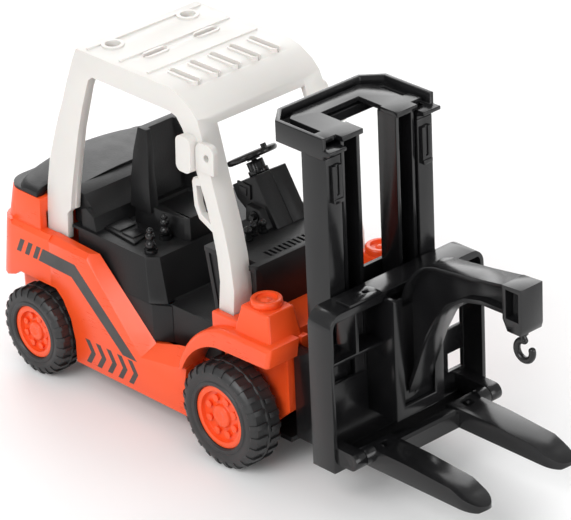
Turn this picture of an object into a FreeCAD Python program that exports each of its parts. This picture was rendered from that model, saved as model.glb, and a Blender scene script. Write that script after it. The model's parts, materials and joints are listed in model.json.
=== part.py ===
"""Toy forklift with a plug-in crane arm, built piece by piece. Millimetres, +X forward, +Y left, +Z up."""
import FreeCAD, Part
import math
import os

V = FreeCAD.Vector

# ---- driving dimensions -------------------------------------------------------------------------
FRONT_AXLE = (7.4, 19.0)          # x, z of the front axle
REAR_AXLE = (-89.8, 16.3)
FRONT_TYRE = (19.0, 28.0, 41.0)   # tread radius, inner face, outer face
REAR_TYRE = (16.3, 30.5, 41.0)
FRONT_DISC = 11.3
REAR_DISC = 9.7
AXLE_R = 1.5
TREAD_BLOCKS = 24
TREAD_DEPTH = 0.7
SIDE_Y = 35.5                     # outer face of the side skirts
SKIRT_INNER_Y = 31.0              # inner edge of the skirts' bevel
WALL = 1.8                        # moulded wall thickness of the body
SEAM_X = -83.7                    # joint between counterweight and skirts
DOME_START = -94.0                # where the hood starts to fall towards the rear
PILLAR_Y = 27.3                   # half width of the guard at the roof
PILLAR_SPLAY = 2.35               # degrees the guard sides lean out towards the foot
ROOF_Z = 125.8
DECK_Z = 58.0                     # side platform beside the seat
COWL_Z = 70.0
MAST_REAR = 35.5
MAST_FRONT = 46.8
MAST_Y = 23.9
MAST_FOOT_Z = 12.5
CARRIAGE_X = (47.6, 58.0)
CARRIAGE_Y = 35.2
CARRIAGE_Z = (15.0, 72.0)
HINGE = (64.0, 21.0)              # x, z of the fork hinge
FORK_Y = (13.4, 24.8)
FORK_Z = (15.7, 22.8)
FORK_TIP = 112.0
HOOK_X = 109.6                    # swivel axis of the crane hook
HOOK_BOWL = (110.5, 66.2)         # x, z of the middle of the hook's bend
HOOK_RADII = (3.4, 1.2)           # bend radius, wire radius
ARM_HALF = 4.6                    # half width of the crane arm flanges
BLADE_Y = 8.6                     # half width of the crane arm's plug-in blade
COLUMN_TILT = 31.0                # degrees the steering column leans back
WHEEL_CENTRE = (-23.7, 7.5, 89.0)
GEAR_MODULE = 0.6
TEETH = {"axle": 20, "idler_pinion": 10, "idler_gear": 20, "flywheel_pinion": 8}
IDLER_ANGLE = 25.0                # direction from the axle to the idler shaft
FLYWHEEL_ANGLE = 10.0             # direction from the idler shaft to the flywheel shaft


# ---- helpers ------------------------------------------------------------------------------------
def box(x0, x1, y0, y1, z0, z1):
    return Part.makeBox(x1 - x0, y1 - y0, z1 - z0, V(x0, y0, z0))


def face(points):
    return Part.Face(Part.makePolygon(points + points[:1]))


def prism_y(xz, y0, y1):
    return face([V(x, y0, z) for x, z in xz]).extrude(V(0, y1 - y0, 0))


def prism_z(xy, z0, z1):
    return face([V(x, y, z0) for x, y in xy]).extrude(V(0, 0, z1 - z0))


def prism_x(yz, x0, x1):
    return face([V(x0, y, z) for y, z in yz]).extrude(V(x1 - x0, 0, 0))


def cyl_x(y, z, r, x0, x1):
    return Part.makeCylinder(r, x1 - x0, V(x0, y, z), V(1, 0, 0))


def cyl_y(x, z, r, y0, y1):
    return Part.makeCylinder(r, y1 - y0, V(x, y0, z), V(0, 1, 0))


def cyl_z(x, y, r, z0, z1):
    return Part.makeCylinder(r, z1 - z0, V(x, y, z0), V(0, 0, 1))


def join(shapes):
    out = shapes[0]
    if len(shapes) > 1:
        out = shapes[0].multiFuse(shapes[1:])
    return out.removeSplitter()


def both(shape):
    """The shape and its mirror image across the centre plane."""
    return [shape, flip(shape)]


def flip(shape):
    return shape.mirror(V(0, 0, 0), V(0, 1, 0))


def edges_near(shape, test):
    return [e for e in shape.Edges if test(e.CenterOfMass, e)]


def soften(shape, radius, test):
    """Fillet the chosen edges, or leave the shape sharp if the kernel refuses."""
    chosen = edges_near(shape, test)
    if not chosen:
        return shape
    try:
        out = shape.makeFillet(radius, chosen)
    except Exception:
        return shape
    return out if out.isValid() and out.Volume > 0 else shape


def taper_box(low, high, z0, z1):
    """Box whose top rectangle differs from its bottom one; each is x0, x1, y0, y1."""
    wires = []
    for (x0, x1, y0, y1), z in ((low, z0), (high, z1)):
        corners = [V(x0, y0, z), V(x1, y0, z), V(x1, y1, z), V(x0, y1, z)]
        wires.append(Part.makePolygon(corners + corners[:1]))
    return Part.makeLoft(wires, True, True)


def taper_prism(low, high, z0, z1):
    """Loft between two plan polygons with the same number of corners."""
    wires = []
    for plan, z in ((low, z0), (high, z1)):
        corners = [V(x, y, z) for x, y in plan]
        wires.append(Part.makePolygon(corners + corners[:1]))
    return Part.makeLoft(wires, True, True)


def mirrored_plan(half):
    """Close a plan outline given for positive y by repeating it for negative y."""
    return half + [(x, -y) for x, y in reversed(half)]


def gear(teeth, x, z, y0, y1, phase):
    """Spur gear about +Y with slightly thin teeth; phase is the angle of one tooth in degrees."""
    pitch_r = teeth * GEAR_MODULE / 2
    root_r = pitch_r - 1.2 * GEAR_MODULE
    tip_r = pitch_r + 0.9 * GEAR_MODULE
    step = 360.0 / teeth
    points = []
    for i in range(teeth):
        mid = phase + i * step
        for radius, share in ((root_r, -0.34), (pitch_r, -0.21), (tip_r, -0.10),
                              (tip_r, 0.10), (pitch_r, 0.21), (root_r, 0.34)):
            a = math.radians(mid + share * step)
            points.append((x + radius * math.cos(a), z + radius * math.sin(a)))
    return prism_y(points, y0, y1)


def save(name, shapes):
    """Write one node; a list becomes a group of separate solids."""
    shape = Part.makeCompound(shapes) if isinstance(shapes, list) else shapes
    shape.exportStep(os.path.join("parts", name + ".step"))


# ---- wheels -------------------------------------------------------------------------------------
def tread_row(x, z, r, base_r, y0, y1, offset):
    """Ring of tread bars as one toothed outline."""
    step = 360.0 / TREAD_BLOCKS
    points = []
    for i in range(TREAD_BLOCKS):
        mid = i * step + offset
        for radius, share in ((base_r, -0.24), (r, -0.18), (r, 0.0), (r, 0.18), (base_r, 0.24), (base_r, 0.37)):
            a = math.radians(mid + share * step)
            points.append((x + radius * math.cos(a), z + radius * math.sin(a)))
    return prism_y(points, y0, y1)


def chamfered_roll(x, z, r, y0, y1, drop, run):
    """Cylinder about Y with a cone at each end."""
    half = [(0, y0), (r - drop, y0), (r, y0 + run), (r, y1 - run), (r - drop, y1), (0, y1)]
    return face([V(x + u, y, z) for u, y in half]).revolve(V(x, 0, z), V(0, 1, 0), 360)


def tyre(centre, sizes, disc_r):
    x, z = centre
    r, inner, outer = sizes
    base_r = r - TREAD_DEPTH
    middle = (inner + outer) / 2
    step = 360.0 / TREAD_BLOCKS
    core = chamfered_roll(x, z, base_r, inner, outer, 1.3, 1.8)
    rib = cyl_y(x, z, r - 0.2, middle - 0.35, middle + 0.35)
    row_in = tread_row(x, z, r, base_r - 0.4, inner + 1.5, middle - 0.35, 0)
    row_out = tread_row(x, z, r, base_r - 0.4, middle + 0.35, outer - 1.5, step / 2)
    solid = join([core, rib, row_in, row_out])
    dish = cyl_y(x, z, (disc_r + r) / 2, outer - 0.6, outer + 1).cut(
        cyl_y(x, z, disc_r + 0.9, outer - 2, outer + 2))
    lip = cyl_y(x, z, disc_r, inner, outer + 1)
    return solid.cut(dish).cut(lip)


def disc(centre, sizes, disc_r):
    """Wheel disc: rim ring, recessed web with eight nuts, centre boss."""
    x, z = centre
    _, inner, outer = sizes
    face_y = outer - 0.9
    solid = cyl_y(x, z, disc_r, inner + 0.6, face_y)
    ring = cyl_y(x, z, disc_r - 2.2, face_y - 1.6, face_y + 1)
    solid = solid.cut(ring)
    hollow = cyl_y(x, z, disc_r - 1.6, inner, face_y - 3.2)
    solid = solid.cut(hollow)
    adds = [cyl_y(x, z, disc_r * 0.30, inner + 0.6, face_y - 0.3)]
    nuts = 8
    for i in range(nuts):
        a = 2 * math.pi * (i + 0.5) / nuts
        nx = x + disc_r * 0.56 * math.cos(a)
        nz = z + disc_r * 0.56 * math.sin(a)
        adds.append(cyl_y(nx, nz, disc_r * 0.095, face_y - 1.7, face_y - 0.6))
    solid = join([solid] + adds)
    return solid.cut(cyl_y(x, z, AXLE_R, inner, face_y - 1.2))


def make_wheels():
    for end, centre, sizes, disc_r in (("front", FRONT_AXLE, FRONT_TYRE, FRONT_DISC),
                                       ("rear", REAR_AXLE, REAR_TYRE, REAR_DISC)):
        left_tyre = tyre(centre, sizes, disc_r)
        left_disc = disc(centre, sizes, disc_r)
        save(end + "_tyre_left", left_tyre)
        save(end + "_tyre_right", flip(left_tyre))
        save(end + "_disc_left", left_disc)
        save(end + "_disc_right", flip(left_disc))
        half = sizes[2] - 0.9 - 1.2
        save(end + "_axle", cyl_y(centre[0], centre[1], AXLE_R, -half, half))


# ---- friction drive -----------------------------------------------------------------------------
def shaft_places():
    first = math.radians(IDLER_ANGLE)
    second = math.radians(FLYWHEEL_ANGLE)
    reach_1 = GEAR_MODULE * (TEETH["axle"] + TEETH["idler_pinion"]) / 2
    reach_2 = GEAR_MODULE * (TEETH["idler_gear"] + TEETH["flywheel_pinion"]) / 2
    idler = (REAR_AXLE[0] + reach_1 * math.cos(first), REAR_AXLE[1] + reach_1 * math.sin(first))
    wheel = (idler[0] + reach_2 * math.cos(second), idler[1] + reach_2 * math.sin(second))
    return idler, wheel


def make_drive():
    idler, fly = shaft_places()
    axle_gear = gear(TEETH["axle"], REAR_AXLE[0], REAR_AXLE[1], -1.5, 1.5, IDLER_ANGLE)
    save("axle_gear", axle_gear.cut(cyl_y(REAR_AXLE[0], REAR_AXLE[1], AXLE_R, -2, 2)))
    shaft = cyl_y(idler[0], idler[1], 1.0, -10.5, 10.5)
    gap = IDLER_ANGLE + 180 + 180.0 / TEETH["idler_pinion"]
    pinion = gear(TEETH["idler_pinion"], idler[0], idler[1], -1.8, 1.8, gap)
    wheel = gear(TEETH["idler_gear"], idler[0], idler[1], 3.0, 5.4, FLYWHEEL_ANGLE)
    sleeve = cyl_y(idler[0], idler[1], 1.9, -1.8, 5.4)
    bore = cyl_y(idler[0], idler[1], 1.0, -12, 12)
    save("idler_gear", join([pinion, wheel, sleeve]).cut(bore))
    save("idler_shaft", shaft)
    gap = FLYWHEEL_ANGLE + 180 + 180.0 / TEETH["flywheel_pinion"]
    small = gear(TEETH["flywheel_pinion"], fly[0], fly[1], 2.6, 5.8, gap)
    bore = cyl_y(fly[0], fly[1], 1.0, -12, 12)
    save("flywheel_pinion", small.cut(bore))
    rim = cyl_y(fly[0], fly[1], 6.8, -8.2, -3.0)
    save("flywheel", rim.cut(bore))
    save("flywheel_shaft", cyl_y(fly[0], fly[1], 1.0, -10.5, 10.5))
    plate = box(-93.0, -65.5, 9.0, 10.5, 11.2, 30.5)
    for centre, radius in ((REAR_AXLE, AXLE_R + 0.06), (idler, 1.06), (fly, 1.06)):
        plate = plate.cut(cyl_y(centre[0], centre[1], radius, 8, 12))
    save("drive_frame_left", plate)
    save("drive_frame_right", flip(plate))
    save("drive_lid", box(-93.0, -65.5, -10.5, 10.5, 30.5, 32.0))


# ---- orange body --------------------------------------------------------------------------------
def arc_points(cx, cz, r, a0, a1, count):
    out = []
    for i in range(count + 1):
        a = math.radians(a0 + (a1 - a0) * i / count)
        out.append((cx + r * math.cos(a), cz + r * math.sin(a)))
    return out


def rear_arch(y0, y1):
    """Space cut out of the body around a rear wheel."""
    outline = [(-108.5, 8), (-108.5, 30.9), (-103.6, 32.6), (-101.1, 34.6), (-81.5, 34.6),
               (-78.0, 31.6), (-74.3, 25.2), (-72.4, 17.0), (-72.4, 8)]
    return prism_y(outline, y0, y1)


def skirt():
    """Left side skirt: its upper edge slopes inwards and up from the outer face, and it is pocketed inside."""
    low_edge = [(-14.8, 22.0), (-15.0, 17.0), (-13.6, 9.1), (SEAM_X, 9.1)]
    outer = [(SEAM_X, 53.6), (-65.0, 53.6), (-37.5, 23.3), (-19.8, 26.2), (-16.0, 27.6), (-13.8, 27.4)] + low_edge
    inner = [(SEAM_X, 54.2), (-61.4, 53.2), (-34.0, 28.4), (-21.6, 32.2), (-15.2, 33.4), (-13.8, 28.6)] + low_edge
    wires = []
    for outline, y in ((inner, SKIRT_INNER_Y), (outer, SIDE_Y)):
        wires.append(Part.makePolygon([V(x, y, z) for x, z in outline + outline[:1]]))
    plate = Part.makeLoft(wires, True, True)
    pocket = [(SEAM_X, 51.6), (-66.0, 51.6), (-39.0, 21.6), (-20.5, 23.6), (-17.0, 22.0),
              (-17.0, 17.0), (-15.8, 11.0), (-70.0, 11.0), (-70.0, 36.0), (SEAM_X, 36.6)]
    plate = plate.cut(prism_y(pocket, 30.0, SIDE_Y - WALL))
    plate = plate.cut(rear_arch(30, 36))
    bevel = prism_x([(36, 54.2), (33.0, 54.2), (36, 51.4)], SEAM_X - 1, -62)
    flange = box(-37.5, -14.2, 27.6, SKIRT_INNER_Y, 26.6, 28.4)
    return join([plate.cut(bevel), flange])


def fender():
    """Left front fender: curved band over the tyre with the lamp box on it."""
    cx, cz = FRONT_AXLE
    outer = arc_points(cx + 5.6, cz + 2.2, 30.0, 168, 101, 14)
    inner = arc_points(cx + 1.2, cz + 0.6, 23.9, 100, 158, 14)
    band_pts = outer + [(31.0, 51.3), (29.6, 44.0)] + inner
    band = prism_y(band_pts, 24.0, 37.5)
    band = soften(band, 1.6, lambda c, e: c.y > 37.4 and c.z > 30
                  and (c.x - cx) ** 2 + (c.z - cz) ** 2 > 29.0 ** 2 and c.x < 30.5)
    lamp = taper_box((9.6, 28.2, 19.4, 34.6), (12.3, 25.4, 20.6, 32.4), 48.0, 60.3)
    lamp = soften(lamp, 0.9, lambda c, e: c.z > 50)
    step = box(-1.7, 12.5, 21.0, 33.0, 44.5, 53.4)
    step = soften(step, 0.8, lambda c, e: c.z > 53.3 and c.x < 12)
    slot = box(-1.35, 6.6, 20.0, 30.9, 50.6, 60.0)
    return [band, lamp, step.cut(slot)]


def make_body():
    cx, cz = FRONT_AXLE
    pieces = []
    for item in [skirt()] + fender():
        pieces += both(item)
    for item in (
            prism_y([(-17.0, 11.2), (-17.0, 27.0), (-6.0, 46.0), (27.0, 50.5), (27.0, 22.5),
                     (14.0, 11.2)], 24.0, 25.8),
            box(27.0, 29.5, 18.5, 21.7, 35.5, 50.0),
            box(25.2, 27.0, 20.0, 26.0, 22.5, 50.0),
            box(-17.0, -15.2, 25.0, 33.8, 11.2, 26.0)):
        pieces += both(item)
    pieces += [
        box(9.0, 27.0, -25.0, 25.0, 50.2, 52.0),
        box(25.2, 27.0, -24.5, 24.5, 22.5, 51.0),
        box(-17.0, -15.2, -25.0, 25.0, 11.2, 27.0),
        box(-62.0, -60.2, -33.8, 33.8, 11.2, 27.0),
    ]
    body = join(pieces)
    for item in both(box(-31.0, -4.6, 20.0, 27.3, 28.6, 60.0)):
        body = body.cut(item)
    for item in both(cyl_z(18.2, 26.2, 2.0, 56.0, 61.0)) + both(cyl_y(cx, cz, 2.4, 20.0, 27.0)):
        body = body.cut(item)
    for y in (-10.0, 10.0):
        body = body.cut(cyl_x(y, 29.0, 1.25, 25.0, 28.0))
    return body


def counterweight_outline(x_rear, x_front, half, corner):
    """Plan of the counterweight with rounded-off rear corners."""
    pts = [(x_front, half)]
    for i in range(7):
        a = math.radians(90 + 15 * i)
        pts.append((x_rear + corner + corner * math.cos(a), half - corner + corner * math.sin(a)))
    return mirrored_plan(pts)


def make_counterweight():
    low = taper_prism(counterweight_outline(-115.1, SEAM_X, 35.5, 9.0),
                      counterweight_outline(-112.0, SEAM_X, 35.5, 9.0), 31.0, 53.8)
    top = taper_prism(counterweight_outline(-111.6, -89.75, 33.8, 8.0),
                      counterweight_outline(-109.4, -89.75, 33.2, 8.0), 53.8, 65.4)
    tail = box(-115.1, SEAM_X, -26.0, 26.0, 12.0, 31.0)
    tail = soften(tail, 6.0, lambda c, e: c.x < -114 and abs(e.tangentAt(e.FirstParameter).z) > 0.9)
    solid = join([low, top, tail])
    hollow = [taper_prism(counterweight_outline(-111.8, SEAM_X + 1, 33.5, 7.6),
                          counterweight_outline(-109.9, SEAM_X + 1, 33.5, 7.6), 30.0, 51.8),
              taper_prism(counterweight_outline(-109.4, -91.9, 31.6, 6.4),
                          counterweight_outline(-107.2, -91.9, 31.0, 6.4), 51.0, 66.0),
              box(-112.0, SEAM_X + 1, -24.0, 24.0, 10.0, 32.0),
              box(-93.0, SEAM_X + 1, -30.8, 30.8, 40.0, 60.0)]
    for item in hollow:
        solid = solid.cut(item)
    for item in both(rear_arch(26.5, 36.5)):
        solid = solid.cut(item)
    solid = solid.cut(cyl_y(REAR_AXLE[0], REAR_AXLE[1], 2.4, -30.0, 30.0))
    bevel = prism_x([(36, 54.4), (33.6, 54.4), (36, 51.6)], -104, SEAM_X + 1)
    for item in both(bevel):
        solid = solid.cut(item)
    return solid


def make_base_plate():
    """Black plate closing the underside, with bored posts that carry both axles."""
    plan = mirrored_plan([(-110.0, 23.6), (-69.7, 23.6), (-69.7, 30.8), (-17.8, 30.8), (-17.8, 23.8),
                          (14.0, 23.8), (24.8, 23.8)])
    plate = prism_z(plan, 9.4, 11.2)
    posts = []
    for (x, z), top in ((FRONT_AXLE, 22.5), (REAR_AXLE, 19.8)):
        for item in both(box(x - 4.0, x + 4.0, 19.5, 23.2, 11.0, top)):
            posts.append(item)
    rail = box(-58.0, -20.0, 14.0, 15.6, 11.0, 14.0)
    plate = join([plate] + posts + both(rail))
    for (x, z), radius in ((FRONT_AXLE, AXLE_R + 0.06), (REAR_AXLE, AXLE_R + 0.06)):
        plate = plate.cut(cyl_y(x, z, radius, -30, 30))
    window = box(-98.0, -81.0, -3.4, 3.4, 9.0, 12.0)
    plate = plate.cut(window)
    for x, y in screw_places():
        plate = plate.cut(cyl_z(x, y, 1.3, 9.0, 12.0))
        plate = plate.cut(cyl_z(x, y, 2.4, 9.0, 10.2))
    return plate


def screw_places():
    return [(-66.0, 26.5), (-66.0, -26.5), (-23.0, 26.5), (-23.0, -26.5)]


def make_screws():
    out = []
    for x, y in screw_places():
        head = Part.makeCone(2.3, 1.25, 0.8, V(x, y, 9.4), V(0, 0, 1))
        shank = cyl_z(x, y, 1.25, 10.2, 18.0)
        drive = box(x - 1.4, x + 1.4, y - 0.25, y + 0.25, 9.3, 9.9)
        out.append(join([head, shank]).cut(drive))
    save("base_screws", out)
    bosses = []
    for x, y in screw_places():
        boss = cyl_z(x, y, 3.0, 11.2, 20.0).cut(cyl_z(x, y, 1.25, 11.0, 18.0))
        bosses.append(boss)
    save("screw_bosses", bosses)


# ---- black upper body ---------------------------------------------------------------------------
def dome(rear, half, base, rise, low):
    """Solid under the crowned hood surface, lofted through smooth cross sections from front to rear."""
    wires = []
    for step in (-0.9, -0.45, 0.0, 0.25, 0.46, 0.65, 0.79, 0.88):
        x = DOME_START - step * (DOME_START - rear)
        back = max(0.0, step) ** 3
        reach = half * (1.0 - back) ** (1 / 1.8)
        points = []
        for i in range(13):
            y = reach * math.sin(math.radians(-90 + 15 * i))
            share = max(0.0, 1.0 - back - (abs(y) / half) ** 1.8)
            points.append(V(x, y, base + rise * share ** (1 / 2.2)))
        crown = Part.BSplineCurve()
        crown.interpolate(points)
        foot = [points[-1], V(x, reach, low), V(x, -reach, low), points[0]]
        wires.append(Part.Wire([crown.toShape()] + Part.makePolygon(foot).Edges))
    return Part.makeLoft(wires, True, False)


def make_engine_cover():
    """Crowned hood from the counterweight to the deck strip behind the seat, hollow underneath."""
    plan = join([prism_z(counterweight_outline(-109.2, -91.4, 33.0, 8.0), 60.0, 73.0),
                 box(-92.0, -80.4, -25.3, 25.3, 60.0, 73.0)])
    rim = prism_z(counterweight_outline(-109.2, -91.4, 33.0, 8.0), 65.5, 66.4)
    front = box(-92.0, -80.4, -25.3, 25.3, 65.5, 66.4)
    drop = box(-89.0, -80.4, -25.3, 25.3, 62.0, 66.4)
    hood = join([dome(-110.2, 34.0, 65.9, 5.6, 65.5).common(plan), rim, front, drop])
    under = dome(-107.8, 30.6, 64.6, 5.4, 64.0)
    return hood.cut(under).cut(box(-89.6, -79.0, -24.2, 24.2, 60.0, 67.0))


def side_platform_walls():
    """Upper tub beside the seat, leaning outwards as it goes down."""
    low = mirrored_plan([(-78.4, 30.8), (-36.8, 30.8), (-31.8, 26.6)])
    high = mirrored_plan([(-78.4, 28.5), (-40.4, 28.5), (-36.8, 25.0)])
    outer = taper_prism(low, high, 42.6, DECK_Z)
    low_in = mirrored_plan([(-76.6, 29.0), (-38.2, 29.0), (-33.8, 25.2)])
    high_in = mirrored_plan([(-76.6, 26.7), (-41.4, 26.7), (-38.6, 24.0)])
    inner = taper_prism(low_in, high_in, 42.6 - 0.01, DECK_Z - 1.8)
    return outer.cut(inner)


def make_cab_tub():
    upper = side_platform_walls()
    low_plan = mirrored_plan([(-60.0, 30.9), (-35.2, 30.9), (-29.1, 27.2)])
    lower = prism_z(low_plan, 29.0, 42.6)
    low_in = mirrored_plan([(-62.0, 29.1), (-36.0, 29.1), (-30.9, 25.9)])
    lower = lower.cut(prism_z(low_in, 28.0, 43.0))
    floor = box(-36.0, 8.6, -23.6, 23.6, 41.6, 43.4)
    step = box(-30.0, -5.0, -27.0, 27.0, 41.6, 43.4)
    step_wall = box(-30.0, -5.0, 25.4, 27.0, 29.0, 42.0)
    front_wall = box(-6.6, -5.0, 20.0, 27.0, 29.0, 42.0)
    cowl = box(-14.0, 10.8, -24.4, 24.4, 68.2, COWL_Z)
    cowl = soften(cowl, 2.0, lambda c, e: c.x > 10 and abs(e.tangentAt(e.FirstParameter).z) > 0.9)
    cowl_back = prism_y([(-14.0, 70.0), (-12.2, 70.0), (-7.0, 43.0), (-8.8, 43.0)], -24.4, 24.4)
    cowl_ends = prism_y([(-14.0, 70.0), (8.8, 70.0), (8.8, 43.0), (-8.8, 43.0)], 18.9, 20.5)
    side_wall = prism_y([(-14.0, 70.0), (-3.4, 70.0), (-3.4, 43.0), (-8.8, 43.0)], 22.2, 23.8)
    cross_wall = box(-5.0, -3.4, 18.9, 23.8, 43.0, COWL_Z)
    strip = prism_y([(-80.3, 58.0), (-80.3, 70.6), (-75.0, 69.2), (-69.0, 63.6), (-68.2, 63.2),
                     (-67.2, 58.0), (-69.0, 57.0), (-76.0, 57.0)], -25.3, 25.3)
    strip = strip.cut(prism_y([(-81, 50.0), (-81, 66.8), (-75.6, 67.0), (-70.4, 61.6), (-70.0, 50.0)],
                              -24.2, 24.2))
    wing = prism_y([(-74.6, 58.0), (-74.6, 64.4), (-72.0, 65.6), (-69.0, 63.6), (-68.2, 63.2),
                    (-67.2, 58.0)], 25.0, 27.2)
    cowl_front = join([box(9.0, 10.8, -19.2, 19.2, 52.0, 62.0), box(9.0, 10.8, -23.8, 23.8, 60.8, COWL_Z - 1.0)])
    pieces = [upper, lower, floor, step, cowl, cowl_back, cowl_front, strip]
    pieces += both(step_wall) + both(front_wall) + both(cowl_ends) + both(wing)
    pieces += both(side_wall) + both(cross_wall)
    tub = join(pieces)
    for i in range(14):
        y = -14.0 + 2.15 * i
        tub = tub.cut(box(4.2, 8.2, y - 0.55, y + 0.55, 67.0, 71.0))
    for item in both(box(-3.4, 8.0, 21.1, 32.0, 50.0, 72.0)):
        tub = tub.cut(item)
    for item in both(box(-81.0, -74.7, 26.2, 32.0, 40.0, 57.0)):
        tub = tub.cut(item)
    return tub


def make_seat():
    low = mirrored_plan([(-64.0, 12.2), (-52.0, 12.0), (-40.0, 10.8), (-38.0, 9.4)])
    high = mirrored_plan([(-64.0, 11.6), (-52.0, 11.2), (-41.0, 9.8), (-39.2, 8.6)])
    cushion = taper_prism(low, high, DECK_Z, 65.8)
    dish = taper_box((-58.0, -41.6, -7.2, 7.2), (-58.0, -37.0, -8.2, 8.2), 64.6, 67.0)
    cushion = cushion.cut(dish)
    wires = []
    for z, x0, x1, half in ((64.0, -65.2, -54.6, 12.8), (74.0, -65.0, -55.6, 12.2),
                            (84.0, -65.0, -57.4, 10.4), (92.0, -65.0, -60.6, 7.8)):
        corners = [V(x0, -half, z), V(x1, -half, z), V(x1, half, z), V(x0, half, z)]
        wires.append(Part.makePolygon(corners + corners[:1]))
    back = Part.makeLoft(wires, True, True)
    hollow = []
    for z, x0, half in ((64.5, -60.4, 8.4), (78.0, -60.6, 8.2), (93.0, -62.2, 5.4)):
        corners = [V(x0, -half, z), V(-50.0, -half - 1.2, z), V(-50.0, half + 1.2, z), V(x0, half, z)]
        hollow.append(Part.makePolygon(corners + corners[:1]))
    back = back.cut(Part.makeLoft(hollow, True, True))
    return join([cushion, back])


def make_platform_fittings():
    base = prism_z([(-67.0, -23.4), (-67.2, -13.0), (-51.8, -16.6), (-49.8, -24.6), (-50.4, -25.0)],
                   DECK_Z, DECK_Z + 0.9)
    frame = box(-66.0, -60.0, -22.6, -15.4, DECK_Z + 0.9, DECK_Z + 1.5)
    pad = box(-58.6, -52.6, -23.0, -18.0, DECK_Z + 0.9, DECK_Z + 1.5)
    save("console_plate", join([base, frame, pad]))
    for name, x, y in (("side_lever_front", -41.8, -24.4), ("side_lever_rear", -46.2, -14.0)):
        foot = cyl_z(x, y, 2.3, DECK_Z, DECK_Z + 1.4)
        low = Part.makeSphere(1.9, V(x, y, DECK_Z + 3.0))
        high = Part.makeSphere(1.7, V(x, y, DECK_Z + 6.2))
        tip = Part.makeSphere(1.2, V(x, y, DECK_Z + 8.2))
        stick = cyl_z(x, y, 1.0, DECK_Z, DECK_Z + 8.0)
        solid = join([foot, low, high, tip, stick])
        save(name, solid.common(box(x - 5, x + 5, y - 5, y + 5, DECK_Z, DECK_Z + 12)))
    levers = []
    for x, y in ((-6.8, -4.2), (-7.6, -8.0), (-6.0, -11.6)):
        stem = cyl_z(x, y, 0.9, COWL_Z, COWL_Z + 3.0)
        knob = Part.makeSphere(1.5, V(x, y, COWL_Z + 3.6))
        foot = cyl_z(x, y, 1.6, COWL_Z, COWL_Z + 0.8)
        levers.append(join([stem, knob, foot]))
    save("cowl_levers", levers)


def make_dash():
    """Dash pod in two halves, with its knob, instrument, column and steering wheel."""
    y0, y1 = 0.3, 14.7
    mid = (y0 + y1) / 2
    profile = [(-4.3, 70.0), (-15.0, 86.5), (-26.6, 79.6), (-24.4, 75.4), (-19.8, 72.4), (-18.6, 70.0)]
    pod = prism_y(profile, y0, y1)
    right = pod.common(box(-40, 10, y0 - 1, mid, 60, 100))
    left = pod.common(box(-40, 10, mid, y1 + 1, 60, 100))
    shelf = prism_y([(-6.6, 70.0), (-10.6, 76.2), (-17.2, 76.2), (-17.6, 70.0)], y0 - 2.6, y0)
    right = join([right, shelf])
    tilt = math.radians(COLUMN_TILT)
    axis = V(-math.sin(tilt), 0, math.cos(tilt))
    centre = V(*WHEEL_CENTRE)
    foot = centre - axis * 6.55
    cx = foot.x
    slope = (86.5 - 79.6) / 11.6
    foot.z = 86.5 + (cx + 15.0) * slope
    low = Part.makeCylinder(3.6, 3.0, foot - axis * 1.2, axis)
    high = Part.makeCylinder(3.0, 3.6, foot + axis * 1.2, axis)
    pin = Part.makeCylinder(1.0, 7.4, foot, axis)
    column = join([low, high, pin]).cut(pod)
    save("dash_pod_right", right)
    save("dash_pod_left", left)
    save("steering_column", column)
    knob = join([cyl_y(-12.6, 73.2, 2.0, y0 - 3.3, y0 - 2.6), cyl_y(-12.6, 73.2, 1.1, y0 - 4.6, y0 - 3.2)])
    save("dash_knob", knob)
    rim_gauge = box(-23.2, -16.8, y0 - 0.7, y0, 77.2, 82.6)
    dial = box(-21.8, -18.2, y0 - 1.2, y0 - 0.7, 78.4, 81.4)
    save("dash_gauge", join([rim_gauge, dial]))
    hub_base = foot + axis * 5.15
    rim = Part.makeTorus(8.0, 1.1, hub_base + axis * 1.6, axis)
    hub = Part.makeCylinder(2.3, 2.2, hub_base, axis)
    side = V(0, 1, 0)
    spokes = []
    for k in range(3):
        spoke = Part.makeBox(8.0, 1.5, 1.0, V(0, -0.75, -0.5))
        spoke.Placement = FreeCAD.Placement(V(0, 0, 0), FreeCAD.Rotation(V(0, 0, 1), 90 + 120 * k))
        turn = FreeCAD.Rotation(V(0, 0, 1), axis)
        spoke = spoke.copy()
        spoke.Placement = FreeCAD.Placement(hub_base + axis * 1.3, turn).multiply(spoke.Placement)
        spokes.append(spoke)
    forward = axis.cross(side)
    grip_at = hub_base + axis * 1.6 - forward * 8.0
    grip = Part.makeCylinder(1.0, 2.4, grip_at, axis)
    wheel = join([rim, hub, grip] + spokes)
    save("steering_wheel", wheel.cut(Part.makeCylinder(1.06, 2.6, hub_base - axis * 0.1, axis)))


# ---- overhead guard -----------------------------------------------------------------------------
def guard_side_outline():
    """Outer and inner side view of one guard frame."""
    outer = [(-71.4, 125.8), (-73.4, 121.5), (-76.6, 113.0), (-79.4, 104.7), (-81.8, 98.4),
             (-84.0, 92.0), (-87.6, 80.0), (-89.2, 70.0), (-89.7, 62.0), (-89.7, 52.9),
             (-79.0, 52.9), (-79.0, 62.4), (-77.0, 64.4), (-76.4, 70.0), (-74.6, 80.0),
             (-71.4, 96.0), (-69.2, 104.3), (-66.6, 112.5), (-65.4, 116.0), (-63.4, 117.6),
             (-24.0, 117.4), (-20.6, 116.4), (-17.8, 113.2), (-14.4, 107.0), (-10.8, 99.0),
             (-6.8, 89.6), (-4.0, 81.2), (-1.6, 72.0), (-0.4, 63.4), (-1.2, 51.2),
             (6.0, 51.2), (6.4, 62.0), (4.6, 73.0), (1.7, 83.5), (-2.4, 95.0),
             (-5.6, 104.6), (-8.8, 114.4), (-10.4, 118.2), (-13.5, 121.4), (-19.2, 124.6),
             (-24.0, 125.8)]
    return outer


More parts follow.
